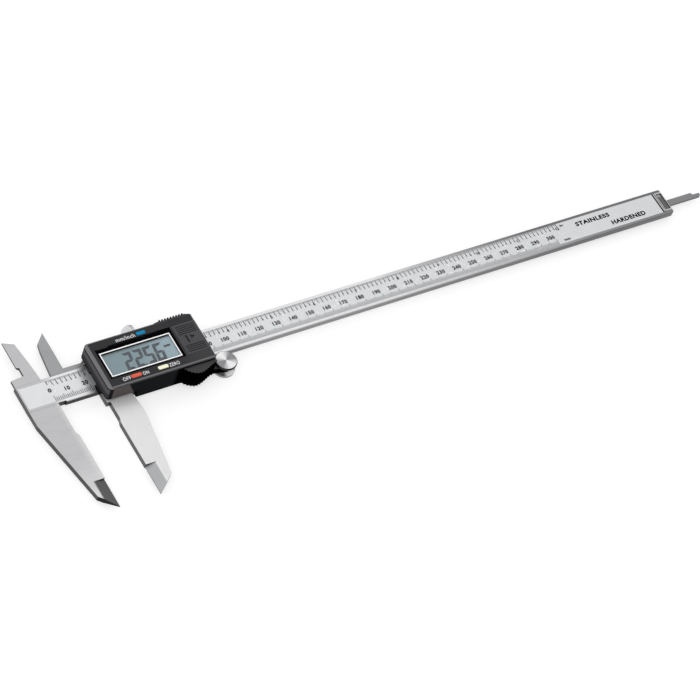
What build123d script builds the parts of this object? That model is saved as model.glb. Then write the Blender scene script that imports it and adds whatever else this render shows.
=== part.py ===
from build123d import *
import math
import os

# Digital caliper, 300 mm, lying on its back with the display up.
#
# Working axes, in mm: x runs from the scale's zero line towards the depth rod's tip, y from the
# beam's centreline towards the inside jaws, z from the beam's front face towards the reader.
# The exported frame has the same directions, with its origin under the middle of the object.

# ---------------------------------------------------------------- driving dimensions
READING = 22.56
BEAM_WIDTH = 16.0
BEAM_THICK = 3.5
BEAM_LEFT = -15.7
BEAM_RIGHT = 375.0
FACE_X = 1.5                # fixed outside measuring face; it meets the moving one at reading 0
KNIFE_X = -9.9              # fixed inside measuring edge
TIP_Y = -70.8               # ends of the outside jaws
INSIDE_TIP_Y = 34.0         # ends of the inside jaws
JAW_FRONT = -0.12           # the jaws are ground a little below the beam's front face
FIXED_JAW_BACK = -3.4       # the fixed outside jaw is a little thinner than the beam
OUTSIDE_KNIFE_Y = -54.2     # the outside jaws are thinned towards their tips from here down
RUNNING_GAP = 0.05

HOUSING_LEFT = 22.5
HOUSING_RIGHT = 82.8
HOUSING_LOW = -15.0
HOUSING_HIGH = 13.75
HOUSING_FRONT = 10.5
HOUSING_CHAMFER = 0.95
LEFT_CHAMFER = 1.7           # along x; the left front edge is bevelled more widely
SKIRT_BACK = -3.9            # the housing's sides come down past the beam's back
HUMP_BACK = -2.6
LOWER_HUMP_FRONT = 8.4
UPPER_HUMP_FRONT = 10.2
HUMP_ROOT_LOW = -12.0        # the humps are rooted this far inside the shell's walls
HUMP_ROOT_HIGH = 12.0
LUG_LEFT = 21.5              # small lug over the beam's lower corner
LUG_LOW = -9.7
LUG_HIGH = -5.0
SIDE_OPENING_END = 40.0      # the lower side is cut away over the moving jaw up to here

# ---------------------------------------------------------------- derived dimensions
HALF = BEAM_WIDTH / 2
BEAM_BACK = -BEAM_THICK
MOVING_FACE_X = FACE_X + READING
MOVING_KNIFE_X = KNIFE_X + READING

RECESS_HALF = 6.35          # front recess for the scale strip, label and stop plate
RECESS_FLOOR = -0.95
RECESS_LEFT = BEAM_LEFT + 0.7
LABEL_LEFT = RECESS_LEFT + 0.05
LABEL_RIGHT = 368.7
LABEL_BACK = -0.2
LABEL_FRONT = -0.05

STOP_LEFT = 369.4
STOP_RIGHT = BEAM_RIGHT - 0.3
STOP_FRONT = 0.35
STOP_SCREW = (371.9, 3.9)

ROD_Y = -0.5
ROD_HALF = 1.75
ROD_BACK = -3.4
ROD_FRONT = -1.85
ROD_TIP = BEAM_RIGHT + READING
ROD_START = 26.0

COVER_FRONT = BEAM_BACK - RUNNING_GAP
COVER_BACK = COVER_FRONT - 1.2

FRAME_LEFT = 23.06
FRAME_RIGHT = 82.0
RAIL_LOW = -13.1
RAIL_HIGH = 11.8
RAIL_TOP = -0.7             # the rails stay below the sensor board
BRIDGE_TOP = 1.3
BRIDGE_LEFT_END = 33.0
BRIDGE_RIGHT_START = 76.0
GIB_OUTER = 9.2
UPPER_RAIL_INNER = 9.3
INSIDE_JAW_SPLIT = -1.75    # the two inside jaws pass each other at this depth

BOARD_BACK = 0.25
BOARD_FRONT = 1.25
CEILING = 7.9               # underside of the housing's front wall
LEDGE = 8.65                # the display window rests here
WINDOW_FRONT = 9.5
WINDOW = (26.1, 67.9, -9.6, 8.75)           # x0, x1, y0, y1
WINDOW_OPENING = (27.6, 66.8, -8.1, 6.0)
LCD_LEFT = 27.8
LCD_RIGHT = 66.6
LCD_LOW = -7.9
LCD_HIGH = 5.4
LCD_STEP_LOW = -6.9          # the front pane ends here and leaves the contact ledge free
LCD_BACK = 6.9
LCD_MIDDLE = 7.75
LCD_FRONT = 8.6
ZEBRA_Y = (-6.9, 4.1)        # the two conductive strips
CAVITY_LEFT = 25.4
CAVITY_RIGHT = 80.8
CAVITY_LOW = -13.2
CAVITY_HIGH = 11.9

# the upper disc's rim lies on the beam's edge and rolls along it
ROLLER_X = 91.1
ROLLER_Y = -13.3
ROLLER_R = 5.75
UPPER_DISC_FRONT = 1.3
LOWER_DISC_FRONT = -4.7
LOWER_DISC_BACK = -6.2
SHAFT_R = 1.8
SHAFT_TAIL_R = 1.2
ARM_R = 3.4
ARM_BACK = -4.3
ARM_FRONT = -0.35

LOCK_X = 53.6
LOCK_Z = -1.1
LOCK_R = 3.5
LOCK_SHANK_R = 1.25
KNOB_START = 15.4
KNOB_END = 22.2

BATTERY_X = 75.6
BATTERY_R = 5.8
BATTERY_BACK = 2.9
BATTERY_FRONT = 8.3
BATTERY_DOOR_LOW = -9.3
BATTERY_DOOR_HIGH = 9.0
BATTERY_DOOR_LEFT = 69.1
BATTERY_DOOR_BACK = 9.0

COVER_SCREW_R = 1.0
COVER_SCREW_HEAD_R = 1.9
COVER_SCREWS = [(27.0, -10.6), (27.0, 10.5), (80.0, -10.6), (80.0, 10.5)]
HOUSING_SCREWS = [(31.0, -10.6), (31.0, 10.55), (77.0, -10.6), (77.0, 10.55)]
HOUSING_SCREW_R = 0.7
HOUSING_SCREW_HEAD_R = 1.1
BOARD_SCREWS = [(46.4, -11.4), (63.0, -11.4), (44.0, 9.6), (63.0, 9.6)]
ROD_RIVETS = [28.5, 32.5]
RIVET_R = 0.74
GIB_SCREWS = [37.0, 70.0]
GIB_SCREW_R = 1.0
GIB_SCREW_Z = -2.0

# centre x, centre y, length of each button cap
BUTTONS = {
    "on_off": (38.9, -11.7, 5.8),
    "zero": (53.9, -11.7, 5.6),
    "unit": (52.9, 10.5, 5.0),
}
BUTTON_WIDTH = 2.0
BUTTON_FRONT = 10.8
PLUNGER_TOP = 3.8

# the object's box, which sets the origin under its middle
ORIGIN = (
    (BEAM_LEFT + ROD_TIP) / 2,
    (TIP_Y + INSIDE_TIP_Y) / 2,
    LOWER_DISC_BACK,
)


# ---------------------------------------------------------------- small helpers
def block(x0, x1, y0, y1, z0, z1):
    """Box between two opposite corners."""
    return Pos((x0 + x1) / 2, (y0 + y1) / 2, (z0 + z1) / 2) * Box(x1 - x0, y1 - y0, z1 - z0)


def plate(points, z0, z1):
    """Flat outline raised from z0 to z1."""
    outline = make_face(Polyline(*points, close=True))
    return Pos(0, 0, z0) * extrude(outline, z1 - z0)


def drum(x, y, z0, z1, radius):
    """Cylinder along z."""
    return Pos(x, y, (z0 + z1) / 2) * Cylinder(radius, z1 - z0)


def bar(x, z, y0, y1, radius):
    """Cylinder along y."""
    return Pos(x, (y0 + y1) / 2, z) * Rot(90, 0, 0) * Cylinder(radius, y1 - y0)


def across(points, y0, y1):
    """Outline in the xz plane, as (x, z) pairs, raised from y0 to y1."""
    outline = make_face(Polyline(*[(x, y1, z) for x, z in points], close=True))
    return extrude(outline, amount=y1 - y0, dir=(0, -1, 0))


def pill(x, y, length, width, z0, z1):
    """Rectangle with rounded corners, raised from z0 to z1."""
    outline = RectangleRounded(length, width, width * 0.35)
    return Pos(x, y, z0) * extrude(outline, z1 - z0)


def group(solids):
    """Several separate solids in one node."""
    return Compound(children=list(solids))


# ---------------------------------------------------------------- beam and what is fixed to it
def knife_wedge(x_back, x_edge, z_face, z_edge, y0, y1):
    """Cutter that grinds one side of a jaw from a full-thickness line down to its edge."""
    slope = (z_edge - z_face) / (x_edge - x_back)
    beyond = x_edge + (2.0 if x_edge > x_back else -2.0)
    outside = z_face + (4.0 if z_edge < z_face else -4.0)
    far_z = z_edge + slope * (beyond - x_edge)
    points = [(x_back, z_face), (beyond, far_z), (beyond, outside), (x_back, outside)]
    return across(points, y0, y1)


def fixed_outside_jaw():
    outline = [
        (BEAM_LEFT, -HALF + 1.0),
        (BEAM_LEFT + 0.1, -16.2),
        (-6.6, -62.6),
        (FACE_X, TIP_Y),
        (FACE_X, -28.0),
        (0.3, -25.3),
        (0.3, -HALF + 1.0),
    ]
    jaw = plate(outline, FIXED_JAW_BACK, JAW_FRONT)
    start_x = -4.4
    low_y = TIP_Y - 1
    jaw -= knife_wedge(start_x, FACE_X, JAW_FRONT, -1.4, low_y, OUTSIDE_KNIFE_Y)
    jaw -= knife_wedge(start_x, FACE_X, FIXED_JAW_BACK, -1.9, low_y, OUTSIDE_KNIFE_Y)
    return jaw


def fixed_inside_jaw():
    outline = [
        (BEAM_LEFT, HALF - 1.0),
        (BEAM_LEFT, 12.0),
        (-8.5, 12.7),
        (-8.5, 17.6),
        (KNIFE_X, 18.2),
        (KNIFE_X, INSIDE_TIP_Y),
        (-4.3, 31.4),
        (-3.6, 26.3),
        (-2.5, 17.6),
        (-1.6, 8.4),
        (-1.6, HALF - 1.0),
    ]
    back = INSIDE_JAW_SPLIT + RUNNING_GAP
    jaw = plate(outline, back, JAW_FRONT)
    jaw -= knife_wedge(-6.0, KNIFE_X, back, -1.0, 18.0, INSIDE_TIP_Y + 1)
    return jaw


def main_beam():
    steel = block(BEAM_LEFT, BEAM_RIGHT, -HALF, HALF, BEAM_BACK, 0)
    far_corners = steel.edges().filter_by(Axis.Z).group_by(Axis.X)[-1].sort_by(Axis.Y)
    steel = fillet(far_corners[0], 1.3)
    upper_corner = steel.edges().filter_by(Axis.Z).sort_by(Axis.X)[-1]
    steel = fillet(upper_corner, 1.0)
    long_edges = steel.edges().filter_by(Axis.X)
    steel = chamfer(long_edges, 0.3)
    steel -= block(RECESS_LEFT, BEAM_RIGHT + 1, -RECESS_HALF, RECESS_HALF, RECESS_FLOOR, 1)
    steel -= block(0, BEAM_RIGHT + 1, ROD_Y - 2.0, ROD_Y + 2.0, BEAM_BACK - 1, -1.75)
    steel -= block(0.3, 4.6, -HALF - 1, -HALF + 0.7, BEAM_BACK - 1, 1)
    steel += fixed_outside_jaw() + fixed_inside_jaw()
    steel -= drum(*STOP_SCREW, BEAM_BACK - 1, 0, 0.6)
    return steel


def scale_strip():
    return block(LABEL_LEFT, LABEL_RIGHT, -RECESS_HALF, RECESS_HALF, RECESS_FLOOR, LABEL_BACK)


def scale_label():
    return block(LABEL_LEFT, LABEL_RIGHT, -RECESS_HALF, RECESS_HALF, LABEL_BACK, LABEL_FRONT)


def end_stop_plate():
    """Plate with a raised rim, a fine groove beside the label and a sunk middle."""
    stop = block(STOP_LEFT, STOP_RIGHT, -RECESS_HALF, RECESS_HALF, RECESS_FLOOR, STOP_FRONT)
    stop = chamfer(stop.faces().sort_by(Axis.Z)[-1].edges(), 0.2)
    sunk = block(STOP_LEFT + 1.3, STOP_RIGHT - 0.5, -5.4, 5.3, STOP_FRONT - 0.5, 1)
    sunk = fillet(sunk.edges().filter_by(Axis.Z), 0.4)
    stop -= sunk
    groove_x = STOP_LEFT + 0.55
    stop -= block(groove_x, groove_x + 0.3, -RECESS_HALF - 1, RECESS_HALF + 1, STOP_FRONT - 0.4, 1)
    return stop - drum(*STOP_SCREW, -2, 1, 0.62)


def end_stop_screw():
    x, y = STOP_SCREW
    floor = STOP_FRONT - 0.5
    screw = drum(x, y, -3.2, floor + 0.1, 0.58)
    screw += drum(x, y, floor + 0.01, floor + 0.55, 1.0)
    slot_half = 0.18
    return screw - block(x - slot_half, x + slot_half, y - 1.4, y + 1.4, floor + 0.35, 1)


# ---------------------------------------------------------------- slider
def moving_outside_jaw():
    outline = [
        (FRAME_LEFT, -HALF - RUNNING_GAP),
        (FRAME_LEFT, -15.4),
        (24.85, -15.4),
        (24.85, -25.5),
        (MOVING_FACE_X, -27.9),
        (MOVING_FACE_X, TIP_Y),
        (33.5, -62.9),
        (34.4, -57.5),
        (36.9, -39.6),
        (38.1, -30.0),
        (38.4, -25.0),
        (38.1, -20.0),
        (37.3, -14.6),
        (37.3, -HALF - RUNNING_GAP),
    ]
    jaw = plate(outline, BEAM_BACK, JAW_FRONT)
    start_x = 30.0
    low_y = TIP_Y - 1
    jaw -= knife_wedge(start_x, MOVING_FACE_X, JAW_FRONT, -2.2, low_y, OUTSIDE_KNIFE_Y)
    jaw -= knife_wedge(start_x, MOVING_FACE_X, BEAM_BACK, -2.7, low_y, OUTSIDE_KNIFE_Y)
    return jaw


def moving_inside_jaw():
    outline = [
        (4.9, HALF + RUNNING_GAP),
        (5.4, 13.0),
        (6.0, 18.5),
        (6.6, 24.0),
        (7.6, 28.8),
        (MOVING_KNIFE_X, INSIDE_TIP_Y),
        (MOVING_KNIFE_X, 11.35),
        (FRAME_LEFT + 1.0, 11.35),
        (FRAME_LEFT + 1.0, HALF + RUNNING_GAP),
    ]
    jaw = plate(outline, BEAM_BACK, INSIDE_JAW_SPLIT)
    jaw -= knife_wedge(8.8, MOVING_KNIFE_X, BEAM_BACK, -2.8, 12.6, INSIDE_TIP_Y + 1)
    return jaw


def slider_frame():
    inner_low = -HALF - RUNNING_GAP
    frame = block(FRAME_LEFT, FRAME_RIGHT, RAIL_LOW, inner_low, BEAM_BACK, RAIL_TOP)
    frame += block(FRAME_LEFT, FRAME_RIGHT, UPPER_RAIL_INNER, RAIL_HIGH, BEAM_BACK, RAIL_TOP)
    for x0, x1 in ((FRAME_LEFT + 0.35, BRIDGE_LEFT_END), (BRIDGE_RIGHT_START, FRAME_RIGHT)):
        frame += block(x0, x1, RAIL_LOW, inner_low, RAIL_TOP, BRIDGE_TOP)
        frame += block(x0, x1, UPPER_RAIL_INNER, RAIL_HIGH, RAIL_TOP, BRIDGE_TOP)
        frame += block(x0, x1, RAIL_LOW, RAIL_HIGH, RUNNING_GAP, BRIDGE_TOP)
    # clearance under the housing's lug at the lower left of the beam's opening
    frame -= block(FRAME_LEFT - 1, 26.0, LUG_LOW - 0.2, LUG_HIGH + 0.1, -0.02, 3)
    frame += moving_outside_jaw() + moving_inside_jaw()
    for x, y in COVER_SCREWS:
        frame -= drum(x, y, BEAM_BACK - 1, -1.2, COVER_SCREW_R)
    for x, y in HOUSING_SCREWS:
        frame -= drum(x, y, BEAM_BACK - 1, 3, HOUSING_SCREW_R + 0.05)
        frame -= drum(x, y, BEAM_BACK - 1, -2.2, HOUSING_SCREW_HEAD_R + 0.05)
    for x in GIB_SCREWS:
        frame -= bar(x, GIB_SCREW_Z, UPPER_RAIL_INNER - 1, RAIL_HIGH + 1, GIB_SCREW_R)
    frame -= bar(LOCK_X, LOCK_Z, UPPER_RAIL_INNER - 1, RAIL_HIGH + 1, LOCK_SHANK_R + RUNNING_GAP)
    return frame


def rear_cover_plate():
    cover = block(24.0, FRAME_RIGHT, RAIL_LOW, RAIL_HIGH, COVER_BACK, COVER_FRONT)
    cover = fillet(cover.edges().filter_by(Axis.Z), 1.2)
    cover = chamfer(cover.faces().sort_by(Axis.Z)[0].edges(), 0.25)
    for x, y in COVER_SCREWS:
        cover -= drum(x, y, COVER_BACK - 1, COVER_FRONT + 1, COVER_SCREW_R + 0.05)
        cover -= Pos(x, y, COVER_BACK + 0.5) * Cone(COVER_SCREW_HEAD_R + 0.05, COVER_SCREW_R - 0.05, 1.0)
    for x in ROD_RIVETS:
        cover -= drum(x, ROD_Y, COVER_BACK - 1, COVER_FRONT + 1, RIVET_R + 0.02)
    return cover


def cross_slot(x, y, z0, z1, reach, width):
    return block(x - reach, x + reach, y - width / 2, y + width / 2, z0, z1) + block(
        x - width / 2, x + width / 2, y - reach, y + reach, z0, z1
    )


def rear_cover_screws():
    screws = []
    for x, y in COVER_SCREWS:
        screw = drum(x, y, COVER_BACK + 0.9, -1.3, COVER_SCREW_R - 0.03)
        screw += Pos(x, y, COVER_BACK + 0.51) * Cone(COVER_SCREW_HEAD_R, COVER_SCREW_R - 0.08, 0.98)
        screw -= cross_slot(x, y, COVER_BACK - 1, COVER_BACK + 0.55, 1.1, 0.36)
        screws.append(screw)
    return group(screws)


def depth_rod():
    rod = block(ROD_START, ROD_TIP, ROD_Y - ROD_HALF, ROD_Y + ROD_HALF, ROD_BACK, ROD_FRONT)
    tip_edges = rod.edges().filter_by(Axis.Z).group_by(Axis.X)[-1].sort_by(Axis.Y)
    rod = fillet(tip_edges[0], 0.9)
    step_x = ROD_TIP - 3.6
    step_y = ROD_Y + 0.35
    hollow = 1.1
    rod -= block(step_x, ROD_TIP + 1, step_y, ROD_Y + 3, ROD_BACK - 1, ROD_FRONT + 1)
    rod -= drum(step_x, step_y + hollow, ROD_BACK - 1, ROD_FRONT + 1, hollow)
    for x in ROD_RIVETS:
        rod -= drum(x, ROD_Y, ROD_BACK - 1, ROD_FRONT + 1, RIVET_R + 0.02)
    return rod


def depth_rod_rivets():
    return group(
        drum(x, ROD_Y, COVER_BACK + 0.05, ROD_FRONT - 0.05, RIVET_R) for x in ROD_RIVETS
    )


def gib_strip():
    strip = block(26.0, 81.0, HALF + RUNNING_GAP, GIB_OUTER, -3.3, -0.75)
    for x in GIB_SCREWS:
        strip -= bar(x, GIB_SCREW_Z, GIB_OUTER - 0.35, GIB_OUTER + 1, 0.6)
    return strip


def gib_set_screws():
    screws = []
    for x in GIB_SCREWS:
        screw = bar(x, GIB_SCREW_Z, GIB_OUTER + 0.02, RAIL_HIGH - 0.2, GIB_SCREW_R - 0.02)
        screw += bar(x, GIB_SCREW_Z, GIB_OUTER - 0.3, GIB_OUTER + 0.1, 0.55)
        screw -= block(x - 1.1, x + 1.1, RAIL_HIGH - 0.8, RAIL_HIGH, -2.15, -1.85)
        screws.append(screw)
    return group(screws)


# ---------------------------------------------------------------- housing
def lower_hump():
    """Serrated finger rest on the lower side, steeper towards the jaws."""
    crest = Spline(
        (63.9, HOUSING_LOW),
        (67.2, -18.6),
        (70.9, -20.2),
        (75.3, -19.3),
        (HOUSING_RIGHT - 0.1, -16.7),
    )
    teeth = 12
    depth = 0.6
    points = []
    for i in range(2 * teeth + 1):
        place = crest @ (i / (2 * teeth))
        run = crest % (i / (2 * teeth))
        inward = depth if i % 2 == 0 else 0
        points.append((place.X - run.Y * inward, place.Y + run.X * inward))
    points += [(HOUSING_RIGHT - 0.4, HUMP_ROOT_LOW), (62.4, HUMP_ROOT_LOW)]
    return plate(points, HUMP_BACK, LOWER_HUMP_FRONT)


def upper_hump():
    """Low serrated finger rest on the upper side."""
    left = 62.0
    crest = 14.6
    pitch = 1.6
    depth = 1.1
    tooth = 0.55
    points = [(left, HUMP_ROOT_HIGH), (left, HOUSING_HIGH - 0.2), (left + 2.4, HOUSING_HIGH + 0.1)]
    for i in range(9):
        x = left + 3.35 + pitch * i
        points += [(x, crest - depth), (x, crest), (x + tooth, crest), (x + tooth, crest - depth)]
    points += [
        (left + 17.0, HOUSING_HIGH + 0.2),
        (HOUSING_RIGHT - 0.4, HOUSING_HIGH - 1.0),
        (HOUSING_RIGHT - 0.4, HUMP_ROOT_HIGH),
    ]
    return plate(points, HUMP_BACK, UPPER_HUMP_FRONT)


def roller_arm():
    """Bracket of the housing that reaches between the roller's discs and carries its shaft."""
    outline = [
        (80.0, HOUSING_LOW + 0.2),
        (80.0, RAIL_LOW - 0.1),
        (FRAME_RIGHT + 0.1, RAIL_LOW - 0.1),
        (FRAME_RIGHT + 0.1, ROLLER_Y + ARM_R),
        (ROLLER_X, ROLLER_Y + ARM_R),
        (ROLLER_X, ROLLER_Y - ARM_R),
        (ROLLER_X - 4.2, HOUSING_LOW - 0.9),
    ]
    arm = plate(outline, ARM_BACK, ARM_FRONT)
    arm += drum(ROLLER_X, ROLLER_Y, ARM_BACK, ARM_FRONT, ARM_R)
    return arm - drum(ROLLER_X, ROLLER_Y, ARM_BACK - 1, ARM_FRONT + 1, SHAFT_R + RUNNING_GAP)


def housing_body():
    body = block(HOUSING_LEFT, HOUSING_RIGHT, HOUSING_LOW, HOUSING_HIGH, SKIRT_BACK, HOUSING_FRONT)
    corners = body.edges().filter_by(Axis.Z).group_by(Axis.X)
    body = fillet(corners[0], 2.2)
    body = fillet(body.edges().filter_by(Axis.Z).group_by(Axis.X)[-1], 1.6)
    body = chamfer(body.faces().sort_by(Axis.Z)[-1].edges(), HOUSING_CHAMFER)
    slope = HOUSING_CHAMFER / LEFT_CHAMFER
    bevel = [
        (HOUSING_LEFT - 1, HOUSING_FRONT - HOUSING_CHAMFER - slope),
        (HOUSING_LEFT + LEFT_CHAMFER, HOUSING_FRONT),
        (HOUSING_LEFT + LEFT_CHAMFER, HOUSING_FRONT + 1),
        (HOUSING_LEFT - 1, HOUSING_FRONT + 1),
    ]
    return body - across(bevel, HOUSING_LOW - 1, HOUSING_HIGH + 1)


def housing_supports():
    """Bosses, posts and the battery's ring wall, which hang from the front wall."""
    parts = Part()
    for x, y in HOUSING_SCREWS:
        parts += drum(x, y, BRIDGE_TOP + 0.05, CEILING + 0.5, 1.75)
    for x, y in BOARD_SCREWS:
        parts += drum(x, y, BOARD_FRONT + 0.02, CEILING + 0.5, 1.5)
    parts += drum(BATTERY_X, 0, 2.4, CEILING + 0.5, 7.3)
    parts += block(68.6, 70.6, CAVITY_LOW, CAVITY_HIGH, 2.4, CEILING + 0.5)
    return parts


def housing_shell():
    shell = housing_body() + lower_hump() + upper_hump()
    cavity = block(CAVITY_LEFT, CAVITY_RIGHT, CAVITY_LOW, CAVITY_HIGH, BEAM_BACK - 1, CEILING)
    shell -= cavity - housing_supports()
    # open ends for the beam and the frame, and the side opening for the moving jaw
    shell -= block(HOUSING_LEFT - 1, CAVITY_LEFT + 0.1, HOUSING_LOW - 1, 20, -6, BRIDGE_TOP + 0.08)
    shell -= block(CAVITY_RIGHT - 0.1, HOUSING_RIGHT + 1, RAIL_LOW - 0.1, 20, -6, BRIDGE_TOP + 0.08)
    side_end = SIDE_OPENING_END
    shell -= block(HOUSING_LEFT - 1, side_end, HOUSING_LOW - 1, CAVITY_LOW + 0.2, -6, BRIDGE_TOP + 0.08)
    shell += block(LUG_LEFT, CAVITY_LEFT, LUG_LOW, LUG_HIGH, 0.1, BRIDGE_TOP + 0.5)
    # display window: pocket, then the smaller opening over the glass
    x0, x1, y0, y1 = WINDOW
    shell -= block(x0 - 0.1, x1 + 0.1, y0 - 0.1, y1 + 0.1, LEDGE, HOUSING_FRONT + 1)
    shell -= block(*WINDOW_OPENING, CEILING - 1, LEDGE + 1)
    for x, y, length in BUTTONS.values():
        shell -= pill(x, y, length + 0.2, BUTTON_WIDTH + 0.2, CEILING - 1, HOUSING_FRONT + 1)
    # battery pocket and the door's channel with its side grooves
    shell -= drum(BATTERY_X, 0, 1.9, 9.5, BATTERY_R + 0.25)
    low = BATTERY_DOOR_LOW
    high = BATTERY_DOOR_HIGH
    floor = BATTERY_DOOR_BACK - 0.1
    shell -= block(BATTERY_DOOR_LEFT, HOUSING_RIGHT + 1, low, high, floor, HOUSING_FRONT + 1)
    shell -= block(BATTERY_DOOR_LEFT, HOUSING_RIGHT + 1, low - 0.8, high + 0.8, floor, floor + 0.65)
    shell -= block(67.5, 70.0, -1.4, 1.4, 1.9, 7.5)
    for x, y in HOUSING_SCREWS:
        shell -= drum(x, y, 0, 5.6, HOUSING_SCREW_R + 0.02)
    for x, y in BOARD_SCREWS:
        shell -= drum(x, y, 0, 5.0, 0.75)
    # lock screw slot and set screw holes in the upper skirt
    shell -= bar(LOCK_X, LOCK_Z, 10, 16, 1.6)
    shell -= block(LOCK_X - 1.6, LOCK_X + 1.6, 10, 16, -6, LOCK_Z)
    for x in GIB_SCREWS:
        shell -= bar(x, GIB_SCREW_Z, 10, 16, GIB_SCREW_R + 0.2)
    return shell + roller_arm()


def housing_screws():
    screws = []
    for x, y in HOUSING_SCREWS:
        screw = drum(x, y, -2.25, 5.4, HOUSING_SCREW_R)
        screw += drum(x, y, -3.3, -2.21, HOUSING_SCREW_HEAD_R)
        screw -= cross_slot(x, y, -4, -2.8, 0.75, 0.3)
        screws.append(screw)
    return group(screws)


def display_window():
    pane = block(*WINDOW, LEDGE + 0.01, WINDOW_FRONT)
    return fillet(pane.edges().filter_by(Axis.Z), 0.4)


def lcd_glass():
    back_pane = block(LCD_LEFT, LCD_RIGHT, LCD_LOW, LCD_HIGH, LCD_BACK, LCD_MIDDLE)
    front_pane = block(LCD_LEFT, LCD_RIGHT, LCD_STEP_LOW, LCD_HIGH, LCD_MIDDLE, LCD_FRONT)
    return back_pane + front_pane


def lcd_holder():
    holder = block(28.0, 67.4, -8.5, 6.6, BRIDGE_TOP + 0.05, LCD_BACK - 0.02)
    holder -= block(35.0, 64.0, -5.0, 3.1, 0, 8)
    for y in ZEBRA_Y:
        holder -= block(33.9, 66.0, y - 1.0, y + 1.0, 0, 8)
    return holder


def zebra_strips():
    bottom = BOARD_FRONT + 0.02
    top = LCD_BACK - 0.01
    return group(block(34.0, 65.9, y - 0.9, y + 0.9, bottom, top) for y in ZEBRA_Y)


def sensor_board():
    board = block(33.4, 75.6, CAVITY_LOW + 0.2, CAVITY_HIGH - 0.2, BOARD_BACK, BOARD_FRONT)
    for x, y in BOARD_SCREWS:
        board -= drum(x, y, 0, 2, 0.85)
    return board


def board_screws():
    screws = []
    for x, y in BOARD_SCREWS:
        screw = drum(x, y, 0.2, 4.8, 0.73) + drum(x, y, -0.55, 0.24, 1.3)
        screw -= cross_slot(x, y, -1, -0.2, 0.8, 0.3)
        screws.append(screw)
    return group(screws)


def reading_chip():
    dome = drum(47.0, -0.9, BOARD_FRONT + 0.01, BOARD_FRONT + 1.31, 3.4)
    return fillet(dome.faces().sort_by(Axis.Z)[-1].edges(), 1.1)


def board_components():
    floor = BOARD_FRONT + 0.01
    crystal = pill(57.5, -2.6, 6.0, 2.1, floor, floor + 1.7)
    capacitors = [block(x, x + 1.6, 0.6, 1.4, floor, floor + 0.8) for x in (53.6, 57.0, 60.4)]
    return group([crystal] + capacitors)


def button_switches():
    switches = []
    for x, y, _ in BUTTONS.values():
        switch = block(x - 1.9, x + 1.9, y - 1.25, y + 1.25, BOARD_FRONT + 0.01, 3.2)
        switch -= drum(x, y, 2.3, 5, 0.8)
        switches.append(switch)
    return group(switches)


def switch_plunger(name):
    x, y, _ = BUTTONS[name]
    return drum(x, y, 2.85, PLUNGER_TOP - 0.02, 0.72)


def button_cap(name):
    x, y, length = BUTTONS[name]
    cap = pill(x, y, length, BUTTON_WIDTH, CEILING - 0.4, BUTTON_FRONT)
    cap = fillet(cap.faces().sort_by(Axis.Z)[-1].edges(), 0.3)
    flange = pill(x, y, length + 1.0, BUTTON_WIDTH + 0.7, CEILING - 0.75, CEILING - 0.05)
    stem = drum(x, y, PLUNGER_TOP, CEILING - 0.5, 0.85)
    return cap + flange + stem


def battery():
    can = drum(BATTERY_X, 0, BATTERY_BACK + 0.9, BATTERY_FRONT, BATTERY_R)
    can = fillet(can.faces().sort_by(Axis.Z)[-1].edges(), 0.35)
    return can + drum(BATTERY_X, 0, BATTERY_BACK, BATTERY_BACK + 0.95, BATTERY_R - 0.6)


def battery_minus_contact():
    """Leaf spring from the board up to the cell's small face."""
    points = [
        (71.4, 1.27),
        (74.4, 1.27),
        (77.6, 2.5),
        (78.6, 2.5),
        (78.6, 2.75),
        (77.5, 2.75),
        (74.3, 1.52),
        (71.4, 1.52),
    ]
    return across(points, -1.2, 1.2)


def battery_plus_contact():
    """Bent strip that rises beside the cell and touches its can."""
    strip = block(67.7, 69.78, -1.1, 1.1, 1.27, 1.52) + block(69.53, 69.78, -1.1, 1.1, 1.27, 7.2)
    return strip


def battery_cover():
    low = BATTERY_DOOR_LOW + 0.1
    high = BATTERY_DOOR_HIGH - 0.1
    left = BATTERY_DOOR_LEFT + 0.1
    door = block(left, HOUSING_RIGHT, low, high, BATTERY_DOOR_BACK, HOUSING_FRONT - 0.02)
    edge = door.edges().filter_by(Axis.Y).group_by(Axis.Z)[-1].sort_by(Axis.X)[-1]
    door = chamfer(edge, 0.8)
    tongue_top = BATTERY_DOOR_BACK + 0.4
    door += block(left, HOUSING_RIGHT - 0.3, low - 0.7, high + 0.7, BATTERY_DOOR_BACK, tongue_top)
    cut = HOUSING_FRONT - 0.45
    rib_pitch = 1.15
    groove = 0.45
    for start, count in ((7.6, 5), (-4.2, 4)):
        for i in range(count):
            y = start - rib_pitch * i
            door -= block(left + 1.3, HOUSING_RIGHT - 1.8, y - groove, y, cut, 12)
    # moulded direction mark: a bar and an arrowhead that points the way the door slides
    mark_x = 73.1
    door -= block(mark_x, mark_x + 1.1, -2.7, 1.7, cut, 12)
    arrow = [(mark_x + 2.6, -1.2), (mark_x + 5.1, 0.2), (mark_x + 2.6, 1.6)]
    door -= plate(arrow, cut, 12)
    return door


# ---------------------------------------------------------------- lock screw and thumb roller
def lock_screw():
    shank = bar(LOCK_X, LOCK_Z, GIB_OUTER + 0.12, 15.2, LOCK_SHANK_R)
    collar = bar(LOCK_X, LOCK_Z, 14.0, 15.6, 2.3)
    knob = bar(LOCK_X, LOCK_Z, KNOB_START, KNOB_END, LOCK_R)
    knob = fillet(knob.faces().sort_by(Axis.Y)[-1].edges(), 1.2)
    knob = chamfer(knob.faces().sort_by(Axis.Y)[0].edges(), 0.4)
    grooves = 30
    for i in range(grooves):
        angle = 360 / grooves * i
        groove = Pos(LOCK_R + 0.08, 18.4, 0) * Rot(0, 45, 0) * Box(0.36, 4.2, 0.36)
        knob -= Pos(LOCK_X, 0, LOCK_Z) * Rot(0, angle, 0) * groove
    return knob + collar + shank


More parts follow.
